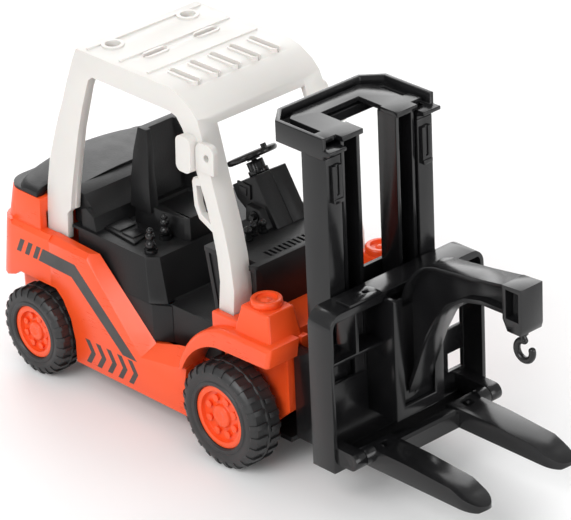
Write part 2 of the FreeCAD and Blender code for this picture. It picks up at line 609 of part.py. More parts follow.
def make_guard():
    side = prism_y(guard_side_outline(), PILLAR_Y - 2.4, PILLAR_Y)
    flange = prism_y([(3.8, 51.2), (6.0, 51.2), (6.4, 62.0), (4.6, 73.0), (1.7, 83.5),
                      (-2.4, 95.0), (-5.6, 104.6), (-8.8, 114.4), (-10.4, 118.2), (-12.8, 117.4),
                      (-11.0, 113.2), (-7.6, 103.4), (-4.4, 94.0), (-0.3, 82.5), (2.5, 73.0),
                      (4.2, 62.0)], PILLAR_Y - 8.0, PILLAR_Y - 2.0)
    rib = prism_y([(-77.4, 64.4), (-76.6, 64.4), (-75.6, 74.0), (-71.6, 96.0), (-67.0, 112.5),
                   (-65.0, 117.0), (-67.4, 117.0), (-69.2, 112.5), (-73.6, 96.0), (-77.6, 74.0)],
                  PILLAR_Y - 3.8, PILLAR_Y - 2.0)
    lug = box(-9.6, -0.8, PILLAR_Y - 0.6, PILLAR_Y + 1.6, 101.5, 111.6)
    lug = soften(lug, 3.0, lambda c, e: c.z > 111 and abs(e.tangentAt(e.FirstParameter).y) > 0.9)
    mirror_block = box(-17.4, -10.2, PILLAR_Y - 0.6, PILLAR_Y + 3.4, 99.6, 112.4)
    mirror_block = soften(mirror_block, 2.4, lambda c, e: abs(e.tangentAt(e.FirstParameter).y) > 0.9)
    grip_outer = [(-9.6, 97.5), (-12.6, 97.2), (-13.4, 95.6), (-12.4, 87.0), (-10.2, 83.0),
                  (-3.4, 80.0), (-3.4, 82.2), (-9.2, 85.0), (-10.6, 88.0), (-11.4, 94.6), (-9.4, 95.0)]
    grip = prism_y(grip_outer, PILLAR_Y - 2.4, PILLAR_Y)
    frame = join([side, flange, rib, lug, mirror_block, grip])
    frame = frame.cut(cyl_y(-4.4, 106.8, 1.3, PILLAR_Y - 4, PILLAR_Y + 4))
    frame.rotate(V(0, PILLAR_Y, ROOF_Z), V(1, 0, 0), PILLAR_SPLAY)
    roof_profile = [(-71.4, ROOF_Z), (-24.0, ROOF_Z), (-19.2, 124.6), (-13.5, 121.4), (-10.4, 118.2),
                    (-9.4, 115.0), (-11.6, 114.6), (-12.4, 117.4), (-15.0, 119.6), (-20.0, 122.4),
                    (-24.4, 123.6), (-70.4, 123.6), (-71.0, 119.4), (-73.6, 119.4)]
    roof = prism_y(roof_profile, -PILLAR_Y + 0.5, PILLAR_Y - 0.5)
    guard = join([roof] + both(frame))
    adds = []
    cuts = []
    for y in (-16.9, 16.9):
        adds.append(slot_shape(-64.2, y, True, 8.0, 4.0, ROOF_Z - 1, ROOF_Z + 0.6))
        cuts.append(slot_shape(-64.2, y, True, 5.4, 2.7, ROOF_Z - 4, ROOF_Z + 2))
    for y in (-11.4, 11.4):
        adds.append(slot_shape(-48.5, y, False, 10.4, 2.3, ROOF_Z - 1, ROOF_Z + 0.6))
        cuts.append(slot_shape(-48.5, y, False, 10.4, 1.2, ROOF_Z - 4, ROOF_Z + 2))
    for k in range(-2, 3):
        y = 8.9 * k
        adds.append(slot_shape(-27.0, y, True, 14.6, 2.2, ROOF_Z - 3, ROOF_Z + 0.6))
        cuts.append(slot_shape(-27.0, y, True, 14.6, 1.2, ROOF_Z - 6, ROOF_Z + 2))
    for x, half in ((-67.6, 25.4), (-51.9, 24.6), (-37.7, 24.6)):
        adds.append(box(x - 0.5, x + 0.5, -half, half, ROOF_Z - 1, ROOF_Z + 0.5))
    guard = join([guard] + adds)
    for item in cuts:
        guard = guard.cut(item)
    return guard


def slot_shape(x, y, along_x, length, half, z0, z1):
    """Rounded slot body, lying along X or along Y; a length of twice half gives a round one."""
    reach = length / 2 - half
    outline = arc_points(reach, 0, half, -90, 90, 12) + arc_points(-reach, 0, half, 90, 270, 12)
    if reach == 0:
        outline = arc_points(0, 0, half, 0, 345, 23)
    if along_x:
        return prism_z([(x + u, y + v) for u, v in outline], z0, z1)
    return prism_z([(x - v, y + u) for u, v in outline], z0, z1)


def make_lamp_studs():
    for name, y in (("lamp_stud_left", 26.2), ("lamp_stud_right", -26.2)):
        stud = cyl_z(18.2, y, 5.4, 60.3, 62.7)
        stud = soften(stud, 0.7, lambda c, e: c.z > 62.6)
        stud = stud.cut(cyl_z(18.2, y, 3.6, 61.7, 63.5))
        dome = Part.makeSphere(2.6, V(18.2, y, 59.9)).common(box(10, 26, y - 5, y + 5, 61.0, 64))
        plug = cyl_z(18.2, y, 2.0, 56.6, 60.6)
        save(name, join([stud, dome, plug]))


# ---- mast ---------------------------------------------------------------------------------------
def make_outer_mast():
    pieces = []
    for item in (box(MAST_REAR, MAST_FRONT, MAST_Y - 1.8, MAST_Y, MAST_FOOT_Z, 120.7),
                 box(MAST_REAR, MAST_REAR + 1.8, 17.0, MAST_Y, MAST_FOOT_Z, 120.7),
                 box(MAST_FRONT - 1.8, MAST_FRONT, 17.2, MAST_Y, MAST_FOOT_Z, 120.7),
                 box(27.6, MAST_REAR, MAST_Y - 1.8, MAST_Y, MAST_FOOT_Z, 47.6)):
        pieces += both(item)
    for z0, z1 in ((MAST_FOOT_Z, 21.0), (61.0, 70.4)):
        pieces.append(box(MAST_REAR, MAST_REAR + 1.8, -18.0, 18.0, z0, z1))
    return join(pieces)


def make_mast_cap():
    plan = mirrored_plan([(18.6, 18.0), (24.8, 24.9), (50.0, 24.9)])
    slab = prism_z(plan, 120.7, 128.2)
    inner = mirrored_plan([(20.2, 17.4), (25.4, 23.2), (51.0, 23.2)])
    slab = slab.cut(prism_z(inner, 124.2, 129.0))
    opening = join([box(29.2, 51.0, -17.2, 17.2, 120, 126), box(37.4, 44.9, -22.1, 22.1, 120, 126)])
    slab = slab.cut(opening)
    slab = slab.cut(box(46.8, 51.0, -30, 30, 124.2, 129.0))
    nose = prism_y([(MAST_FRONT, 120.0), (52.0, 120.0), (52.0, 123.4), (MAST_FRONT, 122.0)], -30, 30)
    return slab.cut(nose)


def make_mast_clips():
    for name, sign in (("mast_clip_left", 1), ("mast_clip_right", -1)):
        body = box(MAST_FRONT, MAST_FRONT + 1.5, 18.0, 22.0, 106.0, 118.0)
        groove = box(MAST_FRONT + 0.6, MAST_FRONT + 2, 19.4, 20.6, 107.5, 119.0)
        tab = box(MAST_FRONT, MAST_FRONT + 2.0, 18.0, 22.0, 104.8, 106.4)
        clip = join([body.cut(groove), tab])
        save(name, clip if sign > 0 else flip(clip))


def make_inner_mast():
    """Pair of rails under a flat U-shaped top plate; slides up inside the outer posts."""
    z0, z1 = 14.5, 124.8
    pieces = []
    for item in (box(37.7, 39.3, 8.0, 21.6, z0, z1),
                 box(37.7, 46.2, 8.0, 9.6, z0, z1),
                 box(37.7, 46.2, 14.9, 16.5, z0, z1),
                 box(37.7, 44.5, 20.2, 21.6, z0, z1 - 4)):
        pieces += both(item)
    pieces.append(box(37.7, 39.3, -9.0, 9.0, z0, 22.0))
    plan = [(22.0, 14.4), (24.6, 18.4), (39.0, 18.4), (39.0, 21.6), (44.5, 21.6), (44.5, 16.8), (47.6, 16.8),
            (47.6, 7.6), (39.6, 7.6), (39.6, 8.4), (28.8, 8.4)]
    top = prism_z(mirrored_plan(plan), z1, 126.6)
    return join(pieces + [top])


def make_mast_bracket():
    """Foot that ties the mast to the front wall of the body, with two screws."""
    body = join([box(27.0, MAST_REAR, -15.0, 15.0, 24.0, 34.0), box(27.0, MAST_REAR, -9.0, 9.0, 44.0, 50.0),
                 box(33.6, MAST_REAR, -9.0, 9.0, 30.0, 66.0)])
    for y in (-10.0, 10.0):
        body = body.cut(cyl_x(y, 29.0, 1.3, 26.0, 37.0))
    save("mast_bracket", body)
    screws = []
    for y in (-10.0, 10.0):
        head = cyl_x(y, 29.0, 2.4, 23.8, 25.2)
        shank = cyl_x(y, 29.0, 1.25, 25.2, 35.4)
        screws.append(join([head, shank]))
    save("mast_screws", screws)


# ---- carriage, forks, crane ---------------------------------------------------------------------
def make_carriage():
    x0, x1 = CARRIAGE_X
    z0, z1 = CARRIAGE_Z
    w = CARRIAGE_Y
    r = 5.5
    outline = [(-w, z0), (-w, z1 - r)]
    for i in range(1, 9):
        a = math.radians(180 - 90 * i / 8)
        outline.append((-w + r + r * math.cos(a), z1 - r + r * math.sin(a)))
    outline += [(-y, z) for y, z in reversed(outline)]
    t = 1.5
    inner = [(-w + t, z0 - 1), (-w + t, z1 - r)]
    for i in range(1, 9):
        a = math.radians(180 - 90 * i / 8)
        inner.append((-w + r + (r - t) * math.cos(a), z1 - r + (r - t) * math.sin(a)))
    inner += [(-y, z) for y, z in reversed(inner)]
    shell = prism_x(outline, x0, x1).cut(prism_x(inner, x0 + 1.6, x1 + 1))
    for sign in (1, -1):
        lo, hi = sorted((sign * 11.6, sign * 33.4))
        shell = shell.cut(box(x0 - 1, x0 + 2, lo, hi, 41.0, 66.0))
        lo, hi = sorted((sign * 26.2, sign * 33.4))
        shell = shell.cut(box(x0 - 1, x0 + 2, lo, hi, 25.0, 32.0))
    shell = shell.cut(box(x0 - 1, x0 + 2, -8.0, 8.0, 50.0, 66.0))
    adds = []
    for item in (box(x0, x1 - 0.8, 21.8, 23.0, 53.4, z1 - 1),
                 box(x0, x1 - 0.8, 11.0, w - 1, 53.4, 54.6),
                 box(x0, x1, 30.4, 33.8, z0, 18.0)):
        adds += both(item)
    for item in (box(40.2, x0 + 0.8, 10.1, 14.4, 26.0, 68.0), box(46.6, x0 + 0.8, 9.0, 15.5, 26.0, 68.0)):
        adds += both(item)
    adds.append(box(x0, x1, -w + 2, w - 2, z1 - 2.7, z1 - 1.5))
    adds.append(box(x0, x1, -w + 1, w - 1, z0, z0 + 1.5))
    solid = join([shell] + adds)
    for item in both(box(56.2, 60.0, 24.6, 30.2, 12.0, 25.4)):
        solid = solid.cut(item)
    lug = join([cyl_y(HINGE[0], HINGE[1], 3.0, 29.0, 33.7), box(x0 + 1, HINGE[0], 29.0, 33.7, 18.0, 24.0)])
    solid = join([solid] + both(lug))
    for item in both(cyl_y(HINGE[0], HINGE[1], 1.2, 20.0, 36.0)):
        solid = solid.cut(item)
    return solid.cut(box(57.2, 60.0, -BLADE_Y - 0.6, BLADE_Y + 0.6, 60.0, 74.0))


def make_socket():
    """U-shaped holder on the carriage; the blade of the crane arm drops in behind its two lips."""
    x0 = CARRIAGE_X[1]
    slot = BLADE_Y + 0.4
    pieces = [box(49.2, 62.8, -11.0, 11.0, 26.2, 30.4)]
    for item in (box(49.2, x0, 7.0, 11.0, 26.2, 69.2),
                 box(x0, 61.6, slot, 11.0, 26.2, 70.6),
                 box(61.6, 62.8, 7.0, 11.0, 26.2, 70.6)):
        pieces += both(item)
    return join(pieces).cut(box(57.4, 61.6, -slot, slot, 30.4, 72.0))


def make_fork_frame():
    """Two tapered tines on a cross beam, hinged at both ends."""
    x, z = HINGE
    y0, y1 = FORK_Y
    z0, z1 = FORK_Z
    side = [(60.4, z0 + 1.6), (62.0, z0), (FORK_TIP - 1.5, z0), (FORK_TIP, z0 + 0.9), (FORK_TIP, z0 + 2.2),
            (FORK_TIP - 7.0, z0 + 4.2), (FORK_TIP - 12.0, z1 - 1.0), (80.0, z1), (61.6, z1), (60.4, z1 - 1.2)]
    middle = (y0 + y1) / 2
    nose = []
    for i in range(13):
        a = math.radians(-90 + 15 * i)
        nose.append((FORK_TIP - 8.0 + 8.0 * math.cos(a), middle + ((y1 - y0) / 2 - 0.5) * math.sin(a)))
    plan = [(60.0, y0)] + nose + [(60.0, y1)]
    tine = prism_y(side, y0 - 1, y1 + 1).common(prism_z(plan, z0 - 1, z1 + 1))
    hole = box(63.6, 67.6, y0 + 3.6, y0 + 7.6, z1 - 2.4, z1 + 1)
    tine = tine.cut(hole)
    barrel = cyl_y(x, z, 3.0, y1 - 0.5, 28.7)
    pieces = both(join([tine, barrel]))
    beam = prism_y([(62.0, z0), (66.6, z0), (66.6, z1 - 1.6), (65.6, z1 - 0.8), (62.6, z1 - 0.8)],
                   -y0 - 0.2, y0 + 0.2)
    solid = join(pieces + [beam])
    for item in both(cyl_y(x, z, 1.26, y0 + 5.0, 30.0)):
        solid = solid.cut(item)
    save("fork_frame", solid)
    pin = cyl_y(x, z, 1.2, y0 + 6.0, 33.7)
    save("hinge_pin_left", pin)
    save("hinge_pin_right", flip(pin))


def arm_centre_line():
    """Upper and lower edge of the crane arm seen from the side."""
    top = [(57.8, 64.0), (59.4, 68.6), (62.0, 75.0), (66.0, 80.4), (70.4, 83.6), (75.0, 85.2), (92.0, 87.4),
           (105.8, 89.6)]
    under = [(105.8, 79.2), (96.0, 79.0), (88.4, 77.2), (81.4, 73.0), (76.0, 66.6), (71.4, 58.0),
             (66.6, 46.0), (61.2, 32.4), (60.9, 30.6)]
    return top, under


def make_crane():
    top, under = arm_centre_line()
    outline = [(57.8, 30.6)] + top + under
    web = prism_y(outline, -1.0, 1.0)
    over = prism_y(top + [(x + (0.9 if z < 84 else 0.1), z - (0.6 if z < 84 else 1.4)) for x, z in reversed(top)],
                   -ARM_HALF, ARM_HALF)
    shifted = []
    for x, z in reversed(under[:-1]):
        shifted.append((x - (1.3 if z < 76 else 0.2), z + (0.5 if z < 76 else 1.4)))
    low = prism_y(under[:-1] + shifted, -ARM_HALF, ARM_HALF)
    clear = join([box(56.0, 61.9, -6.0, -1.0, 28.0, 71.0), box(56.0, 61.9, 1.0, 6.0, 28.0, 71.0)])
    blade = box(57.8, 61.2, -BLADE_Y, BLADE_Y, 30.6, 66.0)
    low = low.cut(clear)
    head = prism_y([(105.6, 89.6), (105.6, 77.6), (107.6, 73.8), (113.4, 73.8), (114.0, 76.0), (114.0, 90.2)],
                   -4.8, 4.8)
    recess = prism_y([(107.0, 88.4), (107.0, 78.2), (112.6, 78.2), (112.6, 88.4)], -6.0, -1.2)
    head = head.cut(recess).cut(flip(recess))
    solid = join([web, over, low, head, blade])
    solid = solid.cut(cyl_z(HOOK_X, 0, 1.06, 70.0, 90.0).common(box(100, 120, -5, 5, 70, 79.5)))
    return solid


def make_hook():
    """Round-wire hook whose shank turns in the head of the crane arm."""
    x = HOOK_X
    cx, cz = HOOK_BOWL
    bend_r, wire_r = HOOK_RADII
    shank = cyl_z(x, 0, 1.0, cz + bend_r, 79.2)
    collar = cyl_z(x, 0, 2.0, 71.8, 73.4)
    start = V(cx, 0, cz + bend_r)
    section = Part.Face(Part.Wire([Part.makeCircle(wire_r, start, V(1, 0, 0))]))
    bowl = section.revolve(V(cx, 0, cz), V(0, -1, 0), 285)
    end = math.radians(15)
    tip = Part.makeSphere(wire_r, V(cx + bend_r * math.cos(end), 0, cz + bend_r * math.sin(end)))
    neck = Part.makeSphere(wire_r, start)
    root = Part.makeCone(1.0, wire_r, 2.2, V(x, 0, cz + bend_r + 2.2), V(0.35, 0, -1))
    return join([shank, collar, bowl, tip, neck, root])


def main():
    os.makedirs("parts", exist_ok=True)
    make_wheels()
    make_drive()
    save("body_shell", make_body())
    save("counterweight", make_counterweight())
    save("base_plate", make_base_plate())
    make_screws()
    save("engine_cover", make_engine_cover())
    save("cab_tub", make_cab_tub())
    save("seat", make_seat())
    make_platform_fittings()
    make_dash()
    save("overhead_guard", make_guard())
    make_lamp_studs()
    save("outer_mast", make_outer_mast())
    save("mast_cap", make_mast_cap())
    make_mast_clips()
    save("inner_mast", make_inner_mast())
    make_mast_bracket()
    save("carriage", make_carriage())
    save("socket_plate", make_socket())
    save("lock_block", join([box(51.0, 57.6, -25.6, -11.2, 72.0, 73.0)]).cut(cyl_z(54.0, -15.4, 1.0, 71, 75)))
    make_fork_frame()
    save("crane_arm", make_crane())
    save("crane_hook", make_hook())


main()
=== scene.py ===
"""Looks of the toy forklift: softened mouldings, tyres, printed stripes, materials, light and camera."""
import json
import math

import bmesh
import bpy
from mathutils import Matrix, Vector


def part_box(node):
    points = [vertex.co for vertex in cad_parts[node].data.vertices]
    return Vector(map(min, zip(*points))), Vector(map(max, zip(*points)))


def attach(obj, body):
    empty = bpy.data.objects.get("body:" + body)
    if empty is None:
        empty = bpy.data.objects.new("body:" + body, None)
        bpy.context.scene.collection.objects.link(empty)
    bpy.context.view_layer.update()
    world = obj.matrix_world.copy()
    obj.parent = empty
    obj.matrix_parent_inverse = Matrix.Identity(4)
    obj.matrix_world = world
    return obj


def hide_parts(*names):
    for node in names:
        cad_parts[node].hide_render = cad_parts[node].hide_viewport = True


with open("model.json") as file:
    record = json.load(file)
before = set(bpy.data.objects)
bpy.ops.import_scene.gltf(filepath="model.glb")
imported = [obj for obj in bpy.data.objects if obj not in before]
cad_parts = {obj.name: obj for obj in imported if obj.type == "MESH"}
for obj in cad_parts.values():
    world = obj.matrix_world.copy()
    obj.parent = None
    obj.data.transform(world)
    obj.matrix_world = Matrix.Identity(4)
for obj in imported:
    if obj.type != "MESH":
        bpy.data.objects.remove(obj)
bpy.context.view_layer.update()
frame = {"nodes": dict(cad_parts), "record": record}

MM = 0.001
SIDE_Y = 35.5               # outer face of the body sides, mm
FILM = 0.04                 # half thickness of the printed ink, mm
TREAD_BARS = 24             # bars in one row of a tyre's tread
TYRE_STEPS = 96             # segments round a tyre
DISC_STEPS = 72             # segments round a wheel disc
NUTS = 8                    # wheel nuts on a disc
SAME_POINT = 2e-6           # metres; closer mesh points are one point
BOX_SLACK = 3e-5            # metres a softened mesh may pass its CAD box
VOLUME_CHANGE = 0.12        # largest share of its volume that softening may take
FLAT_ANGLE = 0.6            # degrees; flatter joints between facets are merged
NODE_BODY = {n: b for b, ns in frame["record"]["behaviour"]["bodies"].items() for n in ns}
NODE_SLOT = {s["node"]: s["material_slot"] for s in frame["record"]["subparts"]}


# ---- node helpers -------------------------------------------------------------------------------
class Nodes:
    """Short way to add and join shader nodes in one material."""

    def __init__(self, name):
        self.material = bpy.data.materials.new(name)
        self.material.use_nodes = True
        self.tree = self.material.node_tree
        self.shader = self.tree.nodes["Principled BSDF"]
        coords = self.tree.nodes.new("ShaderNodeTexCoord")
        self.place = coords.outputs["Object"]

    def add(self, kind, inputs=None, **settings):
        node = self.tree.nodes.new(kind)
        for key, value in settings.items():
            setattr(node, key, value)
        for key, value in (inputs or {}).items():
            if isinstance(value, bpy.types.NodeSocket):
                self.tree.links.new(value, node.inputs[key])
            else:
                node.inputs[key].default_value = value
        return node

    def noise(self, scale, detail=3.0, rough=0.55, place=None):
        inputs = {"Vector": place or self.place, "Scale": scale, "Detail": detail, "Roughness": rough}
        return self.add("ShaderNodeTexNoise", inputs).outputs["Fac"]

    def spread(self, value, low, high, to_low, to_high):
        inputs = {"Value": value, "From Min": low, "From Max": high, "To Min": to_low, "To Max": to_high}
        return self.add("ShaderNodeMapRange", inputs).outputs["Result"]

    def colours(self, value, dark, light):
        ramp = self.add("ShaderNodeValToRGB", {"Fac": value})
        for k, position, colour in ((0, 0.3, dark), (1, 0.7, light)):
            ramp.color_ramp.elements[k].position = position
            ramp.color_ramp.elements[k].color = (*colour, 1)
        return ramp.outputs["Color"]

    def stretched(self, factors):
        return self.add("ShaderNodeMapping", {"Vector": self.place, "Scale": factors}).outputs["Vector"]

    def bump(self, height, strength, distance, normal=None):
        inputs = {"Height": height, "Strength": strength, "Distance": distance}
        if normal:
            inputs["Normal"] = normal
        return self.add("ShaderNodeBump", inputs).outputs["Normal"]

    def link(self, socket, name):
        self.tree.links.new(socket, self.shader.inputs[name])

    def fix(self, **values):
        for name, value in values.items():
            self.shader.inputs[name.replace("_", " ")].default_value = value


# noise scales of the moulded plastics, in features per metre
COLOUR_DRIFT = 45
GLOSS_DRIFT = 90
SCUFFS = 160
MOULD_FLOW = 60


def moulded_plastic(name, dark, light, rough, grain, grain_scale, glow=0.0, shine=0.5):
    """Injection-moulded plastic: faint colour drift, uneven gloss, scuffs and a moulded grain."""
    n = Nodes(name)
    n.link(n.colours(n.noise(COLOUR_DRIFT, 4), dark, light), "Base Color")
    drift = n.noise(GLOSS_DRIFT, 3)
    scuffs = n.noise(SCUFFS, 6, 0.7, n.stretched((1, 1, 9)))
    mix = n.add("ShaderNodeMath", {0: drift, 1: scuffs}, operation="ADD").outputs["Value"]
    n.link(n.spread(mix, 0.7, 1.3, rough[0], rough[1]), "Roughness")
    flow = n.bump(n.noise(MOULD_FLOW, 2), 0.05, 0.0001)
    n.link(n.bump(n.noise(grain_scale, 2), grain, 0.00006, flow), "Normal")
    n.fix(IOR=1.5, Specular_IOR_Level=shine)
    if glow:
        n.fix(Subsurface_Weight=glow, Subsurface_Scale=0.002)
    return n.material


def tyre_plastic():
    """Black tyre moulding with a fine matt grain."""
    n = Nodes("tyre_plastic")
    n.link(n.colours(n.noise(60, 4), (0.012, 0.012, 0.012), (0.024, 0.024, 0.025)), "Base Color")
    n.link(n.spread(n.noise(140, 5), 0.3, 0.7, 0.36, 0.52), "Roughness")
    n.link(n.bump(n.noise(2600, 2), 0.18, 0.00005), "Normal")
    return n.material


def metal(name, dark, light, rough):
    """Metal with fine turning lines that run round Y."""
    n = Nodes(name)
    lines = n.stretched((1, 40, 1))
    n.link(n.colours(n.noise(300, 3, place=lines), dark, light), "Base Color")
    n.link(n.spread(n.noise(500, 4, place=lines), 0.3, 0.7, rough[0], rough[1]), "Roughness")
    n.link(n.bump(n.noise(900, 2, place=lines), 0.15, 0.00003), "Normal")
    n.fix(Metallic=1.0)
    return n.material


def print_ink():
    """Pad-printed dark grey ink, a little uneven where it sits on the plastic."""
    n = Nodes("print_ink")
    n.link(n.colours(n.noise(120, 4), (0.030, 0.030, 0.030), (0.048, 0.046, 0.044)), "Base Color")
    n.link(n.spread(n.noise(400, 4), 0.3, 0.7, 0.34, 0.46), "Roughness")
    n.link(n.bump(n.noise(3000, 2), 0.12, 0.00003), "Normal")
    return n.material


ORANGE = ((0.84, 0.076, 0.012), (0.88, 0.088, 0.015))
WHITE = ((0.655, 0.635, 0.605), (0.69, 0.67, 0.64))
NYLON = ((0.70, 0.66, 0.55), (0.76, 0.72, 0.62))
BLACK = ((0.005, 0.005, 0.0055), (0.009, 0.009, 0.0095))
MATERIALS = {
    "orange_body": moulded_plastic("orange_plastic", *ORANGE, (0.26, 0.36), 0.10, 1400, 0.08),
    "orange_disc": moulded_plastic("orange_disc_plastic", *ORANGE, (0.30, 0.40), 0.10, 1400, 0.08),
    "white_guard": moulded_plastic("white_plastic", *WHITE, (0.30, 0.42), 0.10, 1200, 0.10),
    "black_textured": moulded_plastic("black_grained_plastic", *BLACK, (0.36, 0.48), 0.75, 1500, shine=0.34),
    "black_gloss": moulded_plastic("black_smooth_plastic", *BLACK, (0.17, 0.26), 0.10, 1100, shine=0.42),
    "tyre_rubber": tyre_plastic(),
    "steel_pin": metal("bright_steel", (0.50, 0.50, 0.52), (0.66, 0.66, 0.68), (0.22, 0.36)),
    "gear_nylon": moulded_plastic("nylon", *NYLON, (0.38, 0.48), 0.1, 1200, 0.1),
    "lead_zinc": metal("cast_zinc", (0.22, 0.22, 0.23), (0.34, 0.34, 0.35), (0.45, 0.6)),
}
INK = print_ink()


# ---- mesh helpers -------------------------------------------------------------------------------
def finish_mesh(name, bm, material, body, sharp=35.0):
    """Turn a bmesh into a piece that rides on a body."""
    bmesh.ops.recalc_face_normals(bm, faces=bm.faces)
    mesh = bpy.data.meshes.new(name)
    bm.to_mesh(mesh)
    bm.free()
    mesh.shade_smooth()
    mesh.set_sharp_from_angle(angle=math.radians(sharp))
    mesh.materials.append(material)
    piece = bpy.data.objects.new(name, mesh)
    bpy.context.scene.collection.objects.link(piece)
    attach(piece, body)
    return piece


def spins(points, axle, steps):
    """Closed ring swept round an axle along Y from (radius, y) points given in order."""
    bm = bmesh.new()
    x0, z0 = axle
    rings = []
    for i in range(steps):
        a = 2 * math.pi * i / steps
        rings.append([bm.verts.new((x0 + r * math.cos(a), y, z0 + r * math.sin(a))) for r, y in points])
    count = len(points)
    for i in range(steps):
        here, there = rings[i], rings[(i + 1) % steps]
        for k in range(count):
            m = (k + 1) % count
            bm.faces.new((here[k], there[k], there[m], here[m]))
    return bm


def softened(node, width, segments=2, angle=28.0):
    """Stand-in for a CAD node with its flat facets merged and its edges rounded off."""
    source = frame["nodes"][node]
    best = None
    for size in (width, width * 0.6, width * 0.35):
        bm = bmesh.new()
        bm.from_mesh(source.data)
        bmesh.ops.remove_doubles(bm, verts=bm.verts, dist=SAME_POINT)
        bmesh.ops.dissolve_limit(bm, angle_limit=math.radians(FLAT_ANGLE),
                                 verts=bm.verts, edges=bm.edges)
        bmesh.ops.dissolve_degenerate(bm, dist=1e-6, edges=bm.edges)
        before = abs(bm.calc_volume())
        chosen = [e for e in bm.edges if len(e.link_faces) == 2
                  and e.calc_face_angle(0) > math.radians(angle)]
        bmesh.ops.bevel(bm, geom=chosen, offset=size * MM, offset_type="OFFSET", segments=segments,
                        profile=0.5, affect="EDGES", clamp_overlap=True, miter_outer="SHARP")
        after = abs(bm.calc_volume())
        low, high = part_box(node)
        inside = all(low[k] - BOX_SLACK < v.co[k] < high[k] + BOX_SLACK
                     for v in bm.verts for k in range(3))
        if inside and abs(after - before) < VOLUME_CHANGE * before:
            best = bm
            break
        bm.free()
    if best is None:
        print("kept plain:", node)
        return None
    bmesh.ops.triangulate(best, faces=[f for f in best.faces if len(f.verts) > 4])
    piece = finish_mesh(node + "_part", best, MATERIALS[NODE_SLOT[node]], NODE_BODY[node], 32.0)
    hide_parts(node)
    return piece


# ---- CAD nodes ----------------------------------------------------------------------------------
SOFT_WIDTH = {
    "body_shell": 0.35, "counterweight": 0.5, "lamp_stud_left": 0.25, "lamp_stud_right": 0.25,
    "engine_cover": 0.5, "cab_tub": 0.4, "seat": 0.6, "console_plate": 0.15, "dash_pod_left": 0.35,
    "dash_pod_right": 0.35, "dash_gauge": 0.15, "overhead_guard": 0.4, "outer_mast": 0.25, "mast_cap": 0.3,
    "mast_clip_left": 0.2, "mast_clip_right": 0.2, "inner_mast": 0.25, "mast_bracket": 0.3, "carriage": 0.3,
    "socket_plate": 0.3, "lock_block": 0.2, "fork_frame": 0.45, "crane_arm": 0.3, "steering_column": 0.15,
}


def dress_nodes():
    """Give every CAD node its material, then round off the ones that show."""
    for name, node in frame["nodes"].items():
        node.data.materials.clear()
        node.data.materials.append(MATERIALS[NODE_SLOT[name]])
    for name, width in SOFT_WIDTH.items():
        softened(name, width)


# ---- printed stripes ----------------------------------------------------------------------------
def printed(name, outline, sign):
    """Thin ink film on the side of the body; outline is x, z in millimetres."""
    bm = bmesh.new()
    rings = []
    for y in (SIDE_Y - FILM, SIDE_Y + FILM):
        rings.append([bm.verts.new((x * MM, sign * y * MM, z * MM)) for x, z in outline])
    bm.faces.new(rings[0])
    bm.faces.new(rings[1])
    count = len(outline)
    for k in range(count):
        m = (k + 1) % count
        bm.faces.new((rings[0][k], rings[0][m], rings[1][m], rings[1][k]))
    return finish_mesh(name, bm, INK, "chassis")


def make_prints():
    """Long stripe, three short bars and five plain chevrons on each side."""
    long_stripe = [(-87.2, 48.0), (-70.1, 47.6), (-39.6, 20.8), (-47.0, 20.8), (-72.3, 42.2), (-90.0, 42.6)]
    for word, sign in (("left", 1), ("right", -1)):
        printed("stripe_long_" + word, long_stripe, sign)
        for i in range(3):
            x = -100.7 + 4.4 * i
            bar = [(x + 1.4, 48.0), (x + 3.7, 48.0), (x + 1.1, 42.7), (x - 1.2, 42.7)]
            printed(f"stripe_bar_{i}_{word}", bar, sign)
        for i in range(5):
            x = -67.0 + 5.6 * i
            chevron = [(x, 20.2), (x + 2.4, 20.2), (x + 5.2, 15.7),
                       (x + 2.4, 11.2), (x, 11.2), (x + 2.8, 15.7)]
            printed(f"chevron_{i}_{word}", chevron, sign)


# ---- tyres --------------------------------------------------------------------------------------
def lug(bm, axle, angle, half_angle, profile):
    """One moulded lug: the (radius, y) profile swept through a small angle."""
    x0, z0 = axle
    sides = []
    for a in (angle - half_angle, angle + half_angle):
        sides.append([bm.verts.new((x0 + r * math.cos(a), y, z0 + r * math.sin(a))) for r, y in profile])
    bm.faces.new(sides[0])
    bm.faces.new(list(reversed(sides[1])))
    count = len(profile)
    for k in range(count):
        m = (k + 1) % count
        bm.faces.new((sides[0][k], sides[1][k], sides[1][m], sides[0][m]))


